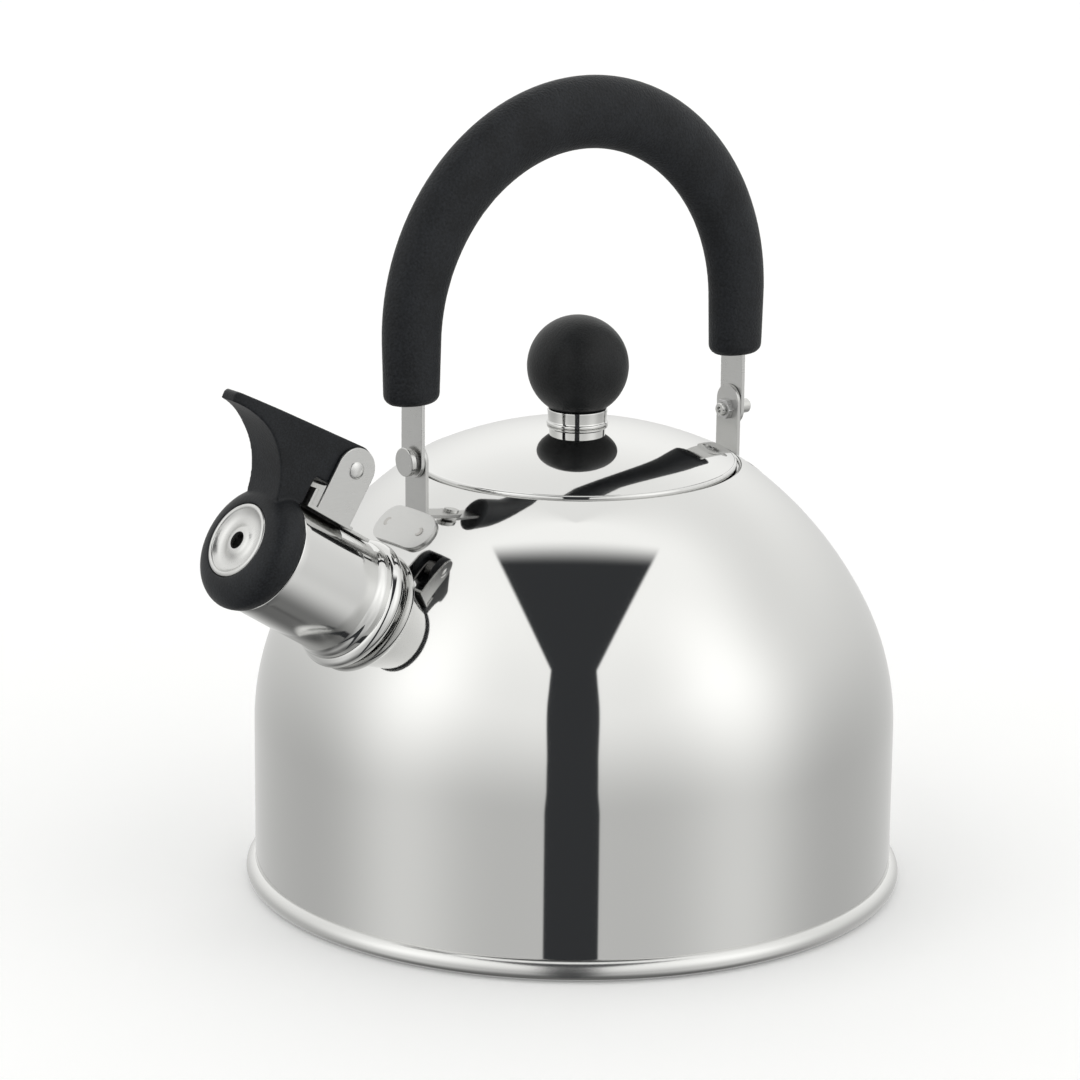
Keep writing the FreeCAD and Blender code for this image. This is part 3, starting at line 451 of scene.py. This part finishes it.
def merged_copy(node, flatten=True):
    """A CAD node's surface with its corners joined up, as a new piece on the same body."""
    source = frame["nodes"][node]
    mesh = bpy.data.meshes.new(node + "_finished")
    work = bmesh.new()
    work.from_mesh(source.data)
    bmesh.ops.remove_doubles(work, verts=work.verts, dist=0.000002)
    if flatten:
        bmesh.ops.dissolve_limit(work, angle_limit=math.radians(0.4), verts=work.verts,
                                 edges=work.edges)
    work.to_mesh(mesh)
    work.free()
    piece = bpy.data.objects.new(node + "_finished", mesh)
    bpy.context.scene.collection.objects.link(piece)
    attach(piece, source["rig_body"])
    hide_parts(node)
    return piece


def round_edges(piece, width, finish):
    """Give a piece its finish and a narrow bevel along every sharp edge."""
    piece.data.shade_smooth()
    piece.data.materials.append(finish)
    round_over = piece.modifiers.new("eased_edges", "BEVEL")
    round_over.width = width
    round_over.segments = 2
    round_over.limit_method = "ANGLE"
    round_over.angle_limit = math.radians(32)
    flat = piece.modifiers.new("flat_faces", "WEIGHTED_NORMAL")
    flat.weight = 100


# the foot lies on the crown's slope; its outer lower corner is the bracket box's own corner
foot_slope = math.radians(42.8)
foot_half_width = 6.0 * MM
foot_thickness = 1.1 * MM
foot_half_length = 12.3 * MM
crown_round = 91.7 * MM


def foot_frame(label, side):
    """Middle of a foot's upper face, the way out of the crown there, and the way down its slope."""
    low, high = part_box(label)
    normal = np.array([side * math.sin(foot_slope), 0, math.cos(foot_slope)])
    down = np.array([side * math.cos(foot_slope), 0, -math.sin(foot_slope)])
    reach = high.x if side > 0 else low.x
    corner = np.array([reach - normal[0] * foot_thickness, 0, low.z])
    return corner - down * foot_half_width + normal * foot_thickness, normal, down


def drape_foot(piece, middle, normal, down):
    """Bend the foot round the crown: each point of it drops by its y squared over twice the radius."""
    work = bmesh.new()
    work.from_mesh(piece.data)
    for y in np.linspace(-foot_half_length, foot_half_length, 16)[1:-1]:
        parts = work.verts[:] + work.edges[:] + work.faces[:]
        bmesh.ops.bisect_plane(work, geom=parts, plane_co=(0, y, 0), plane_no=(0, 1, 0))
    work.to_mesh(piece.data)
    work.free()
    points = np.zeros(len(piece.data.vertices) * 3)
    piece.data.vertices.foreach_get("co", points)
    points = points.reshape(-1, 3)
    lift = (points - middle) @ normal
    on_foot = (lift < 0.2 * MM) & (abs((points - middle) @ down) < foot_half_width + 1 * MM)
    drop = np.where(on_foot, points[:, 1] ** 2 / (2 * crown_round), 0.0)
    piece.data.vertices.foreach_set("co", (points - drop[:, None] * normal).ravel())


bracket_finish = satin_steel("satin_bracket_steel")
for label, side in (("spout_side_bracket", -1), ("rear_bracket", 1)):
    bracket = merged_copy(label)
    drape_foot(bracket, *foot_frame(label, side))
    round_edges(bracket, 0.18 * MM, bracket_finish)

# each weld is a shallow pit with a raised rim
weld_spacing = 7.5 * MM
weld_profile = np.array([(0.05, -0.03), (0.6, -0.01), (0.95, 0.03), (1.15, 0.05), (1.35, 0.03),
                         (1.5, -0.02), (1.5, -0.1), (0.05, -0.1)]) * MM
weld_finish = satin_steel("spot_weld_steel", (0.52, 0.51, 0.49), 0.3)
for label, side in (("spout_side_bracket", -1), ("rear_bracket", 1)):
    top, normal, down = foot_frame(label, side)
    top = top - normal * weld_spacing ** 2 / (2 * crown_round)
    for number, along in enumerate((-weld_spacing, weld_spacing)):
        points = turned_points(weld_profile, top + np.array([0, along, 0]), normal, down)
        grid_piece(f"{label}_weld_{number}", points, "kettle", weld_finish)


# ---------------------------------------------------------------- handle pivots
# The spout side turns on a clinched rivet and the rear on a screw with a hexagon nut inside.
# A cupped spring washer under each head holds the handle where it is put.

wear(satin_steel("satin_rivet_steel", (0.66, 0.66, 0.65), 0.16, (1500.0, 1500.0, 1500.0)),
     "pivot_rivet", "pivot_screw")
wear(satin_steel("spring_washer_steel", (0.5, 0.5, 0.49), 0.25), "spout_side_spring_washer",
     "rear_spring_washer")
round_edges(merged_copy("pivot_nut"), 0.15 * MM, satin_steel("plated_nut_steel", (0.6, 0.6, 0.6), 0.2))


# ---------------------------------------------------------------- whistle hinge
# A stamped channel is welded on top of the spout. A headed pin through its two ears carries
# the whistle, and a wound spring round the pin presses the whistle shut.

round_edges(merged_copy("hinge_bracket"), 0.2 * MM,
            satin_steel("satin_hinge_steel", (0.66, 0.66, 0.65), 0.2))
pin_finish = satin_steel("hinge_pin_steel", (0.72, 0.72, 0.71), 0.12, (1500.0, 1500.0, 1500.0))
wear(pin_finish, "hinge_pin")
pin_low, pin_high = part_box("hinge_pin")
pin_middle = (pin_low + pin_high) / 2
pin_standing = 0.4 * MM
head_profile = np.array([(0.02, 0.8), (0.9, 0.74), (1.7, 0.55), (2.2, 0.33), (2.5, 0.1),
                         (2.55, 0.0), (2.5, -0.05), (0.02, -0.05)]) * MM
for label, end, way in (("near_pin_head", pin_low.y, -1), ("far_pin_head", pin_high.y, 1)):
    head_seat = (pin_middle.x, end - way * pin_standing, pin_middle.z)
    points = turned_points(head_profile, head_seat, (0, way, 0), (1, 0, 0))
    grid_piece(label, points, "kettle", pin_finish)
wear(satin_steel("wound_spring_steel", (0.42, 0.41, 0.4), 0.3, (900.0, 900.0, 900.0)), "hinge_spring")


# ---------------------------------------------------------------- lid
# The lid is a shallow pressed dome with a turned-down rim, mirror polished like the body. A
# skirt spot-welded under it guides it in the neck.

wear(polished_steel("polished_lid_steel", 0.025), "lid_shell")
wear(turned_metal("plain_skirt_steel", (0.6, 0.6, 0.59), 0.26, 900.0), "lid_skirt")


# ---------------------------------------------------------------- knob
# A ball of heat-proof plastic sits in a turned steel ferrule. One screw from inside the lid
# draws both down onto it, into a brass insert moulded in the ball.

def black_plastic(name, colour, roughness, grain_scale, grain_depth):
    """Moulded black plastic: fine spark-eroded grain, faint mottling and slightly shinier high spots."""
    material, tree, shader = new_finish(name)
    grain = noise(tree, place_on(tree), grain_scale, 3.0, 0.6)
    pits = shade(tree, "ShaderNodeTexVoronoi", {"feature": "SMOOTH_F1"},
                 {"Vector": place_on(tree), "Scale": grain_scale * 0.8, "Smoothness": 0.6})
    mottle = noise(tree, place_on(tree), 90.0, 4.0)
    lighter = tuple(part * 2.6 for part in colour) + (1,)
    speckle = (grain * 0.65 + mottle * 0.35).smooth(0.36, 0.66)
    feed(tree, shader.inputs["Base Color"], blend_colours(tree, speckle, colour + (1,), lighter))
    feed(tree, shader.inputs["Roughness"], roughness + grain * 0.14 - mottle * 0.06)
    shader.inputs["Specular IOR Level"].default_value = 0.24
    feed(tree, shader.inputs["Normal"], bump(tree, grain + pits * 0.7, grain_depth))
    return material


wear(polished_steel("polished_ferrule_steel", 0.05), "knob_ferrule")
wear(black_plastic("black_ball_plastic", (0.0048, 0.0053, 0.0058), 0.38, 1900.0, 0.00007), "lid_knob")
wear(turned_metal("turned_brass", (0.72, 0.53, 0.26), 0.25, 2500.0), "knob_insert")
wear(satin_steel("plain_washer_steel"), "knob_washer", "knob_screw")


# ---------------------------------------------------------------- folding handle
# The handle is a flat steel bar bent to an arch, with a fat oval grip of soft black plastic
# moulded round its upper part. The bar's ends are drilled for the two pivots.

round_edges(merged_copy("handle_strap"), 0.2 * MM,
            satin_steel("satin_strap_steel", (0.66, 0.66, 0.65), 0.2))
wear(black_plastic("black_grip_plastic", (0.0058, 0.0066, 0.0079), 0.46, 1500.0, 0.0002), "handle_grip")


# ---------------------------------------------------------------- whistle
# One moulding is both the round nose that caps the spout and the thumb lever that lifts it.
# Two thin steel discs with a hole in each make the whistle, and a silicone ring seals the mouth.

lever = merged_copy("whistle_lever", flatten=False)
lever.data.materials.append(
    black_plastic("black_lever_plastic", (0.0056, 0.0064, 0.0077), 0.4, 1900.0, 0.00006))
# the moulding's edges are all soft: its skin is rebuilt in even cells, then relaxed
skin = lever.modifiers.new("even_skin", "REMESH")
skin.mode = "VOXEL"
skin.voxel_size = 0.36 * MM
skin.use_smooth_shade = True
relax = lever.modifiers.new("relaxed_edges", "SMOOTH")
relax.factor = 0.5
relax.iterations = 5
disc_finish = satin_steel("satin_whistle_steel", (0.7, 0.7, 0.69), 0.2, (1400.0, 1400.0, 1400.0))
wear(disc_finish, "whistle_front_disc", "whistle_back_disc")
wear(black_plastic("silicone_ring", (0.03, 0.03, 0.03), 0.5, 700.0, 0.00002), "whistle_seal")


# ---------------------------------------------------------------- floor and soft tent light
# A plain pale floor stands in a white light tent. The tent is brightest at two soft panels,
# one each side of the view, and it is dark at the slit and hood where the view comes in.

view_azimuth = math.radians(-38.4)
floor_half = 3.0
floor_mesh = bpy.data.meshes.new("floor")
floor_mesh.from_pydata([(-floor_half, -floor_half, 0), (floor_half, -floor_half, 0),
                        (floor_half, floor_half, 0), (-floor_half, floor_half, 0)], [], [(0, 1, 2, 3)])
floor = bpy.data.objects.new("floor", floor_mesh)
bpy.context.scene.collection.objects.link(floor)
floor_finish, floor_tree, floor_shader = new_finish("pale_floor")
floor_tone = noise(floor_tree, place_on(floor_tree), 2.0)
feed(floor_tree, floor_shader.inputs["Base Color"],
     blend_colours(floor_tree, floor_tone, (0.95, 0.95, 0.95, 1), (0.96, 0.96, 0.96, 1)))
floor_shader.inputs["Roughness"].default_value = 0.9
floor_shader.inputs["Specular IOR Level"].default_value = 0.0
floor_shader.inputs["Emission Color"].default_value = (0.95, 0.97, 1.0, 1)
floor_shader.inputs["Emission Strength"].default_value = 0.05
floor_mesh.materials.append(floor_finish)
floor.visible_glossy = False


def tent_light():
    """Brightness of the tent by direction: angle from the view's azimuth, and height.

    The wall is a base level with two bell-shaped panels 63 degrees each side of the view, and it
    fades below the horizon. Above, it runs into an even ceiling. The hood is a wedge in the
    ceiling over the view, narrowing outwards until it meets the upright slit.
    """
    world = bpy.data.worlds.new("light_tent")
    bpy.context.scene.world = world
    world.use_nodes = True
    tree = world.node_tree
    tree.nodes.clear()
    way = shade(tree, "ShaderNodeTexCoord", output=0)
    x, y, z = (shade(tree, "ShaderNodeSeparateXYZ", None, {0: way}, output=part) for part in range(3))
    ahead = x * math.sin(view_azimuth) - y * math.cos(view_azimuth)
    aside = x * math.cos(view_azimuth) + y * math.sin(view_azimuth)
    angle = abs(aside.math("ARCTAN2", ahead)) * (180 / math.pi)
    height = z.math("ARCSINE") * (180 / math.pi)

    def bell(centre, width):
        return (((angle - centre) / width) ** 2.0 * -1.0).math("EXPONENT")

    wall = 0.63 + bell(0.0, 45.0) * 0.15 + bell(63.0, 25.0) * 0.36 + bell(180.0, 50.0) * 0.2
    wall = wall * (0.14 + height.smooth(-72.0, -26.0) * 0.44 + height.smooth(-19.0, 30.0) * 0.42)
    ceiling = 0.72 + (1.0 - angle.smooth(85.0, 130.0)) * 0.15
    tent = wall + (ceiling - wall) * height.smooth(28.0, 62.0)
    above = z.math("MAXIMUM", 0.02)
    out = ahead / above
    wide = abs(aside) / above
    wedge = (0.478 - out * 0.25 - wide).smooth(-0.012, 0.012)
    hood = wedge * (out + wide * wide * 0.44).smooth(0.1, 0.27) * z.smooth(0.03, 0.06)
    slit_half = 9.7 - height.smooth(-19.0, -6.0) * 0.8 + height.smooth(4.0, 32.0) * 1.3
    slit = (slit_half - angle).smooth(-0.35, 0.35)
    slit = slit * (1.0 - height.smooth(48.0, 52.0))
    dark = hood.math("MAXIMUM", slit)
    steel_reflectance = 0.665
    bright = tent / steel_reflectance
    colour = blend_colours(tree, dark, (1.0, 1.0, 0.985, 1), (0.0425, 0.0445, 0.0475, 1))
    strength = bright + (1.0 - bright) * dark
    seen = shade(tree, "ShaderNodeLightPath")
    lit = shade(tree, "ShaderNodeBackground", None, {"Color": colour, "Strength": strength})
    plain = shade(tree, "ShaderNodeBackground", None, {"Color": (1, 1, 1, 1), "Strength": 1.0})
    mix = shade(tree, "ShaderNodeMixShader", None, {0: seen, 1: lit, 2: plain})
    shade(tree, "ShaderNodeOutputWorld", None, {0: mix})


tent_light()


# ---------------------------------------------------------------- camera
# A long lens stands about 1.2 m away, a little above the lid, on the spout's near side.

camera = bpy.data.objects.new("camera", bpy.data.cameras.new("camera"))
bpy.context.scene.collection.objects.link(camera)
camera.data.sensor_width = 36.0
camera.data.lens = 139.133
camera.data.clip_start = 0.01
# the camera's right, up and backward directions
camera_rows = Matrix(((0.79263542, -0.60962194, 0.0094963),
                      (0.1469692, 0.20616038, 0.96741819),
                      (-0.59171712, -0.76541426, 0.25300567)))
camera_place = Matrix.Translation(Vector((-0.73693, -0.93597, 0.41394)))
camera.matrix_world = camera_place @ camera_rows.transposed().to_4x4()
bpy.context.scene.camera = camera
bpy.context.scene.view_settings.view_transform = "Standard"
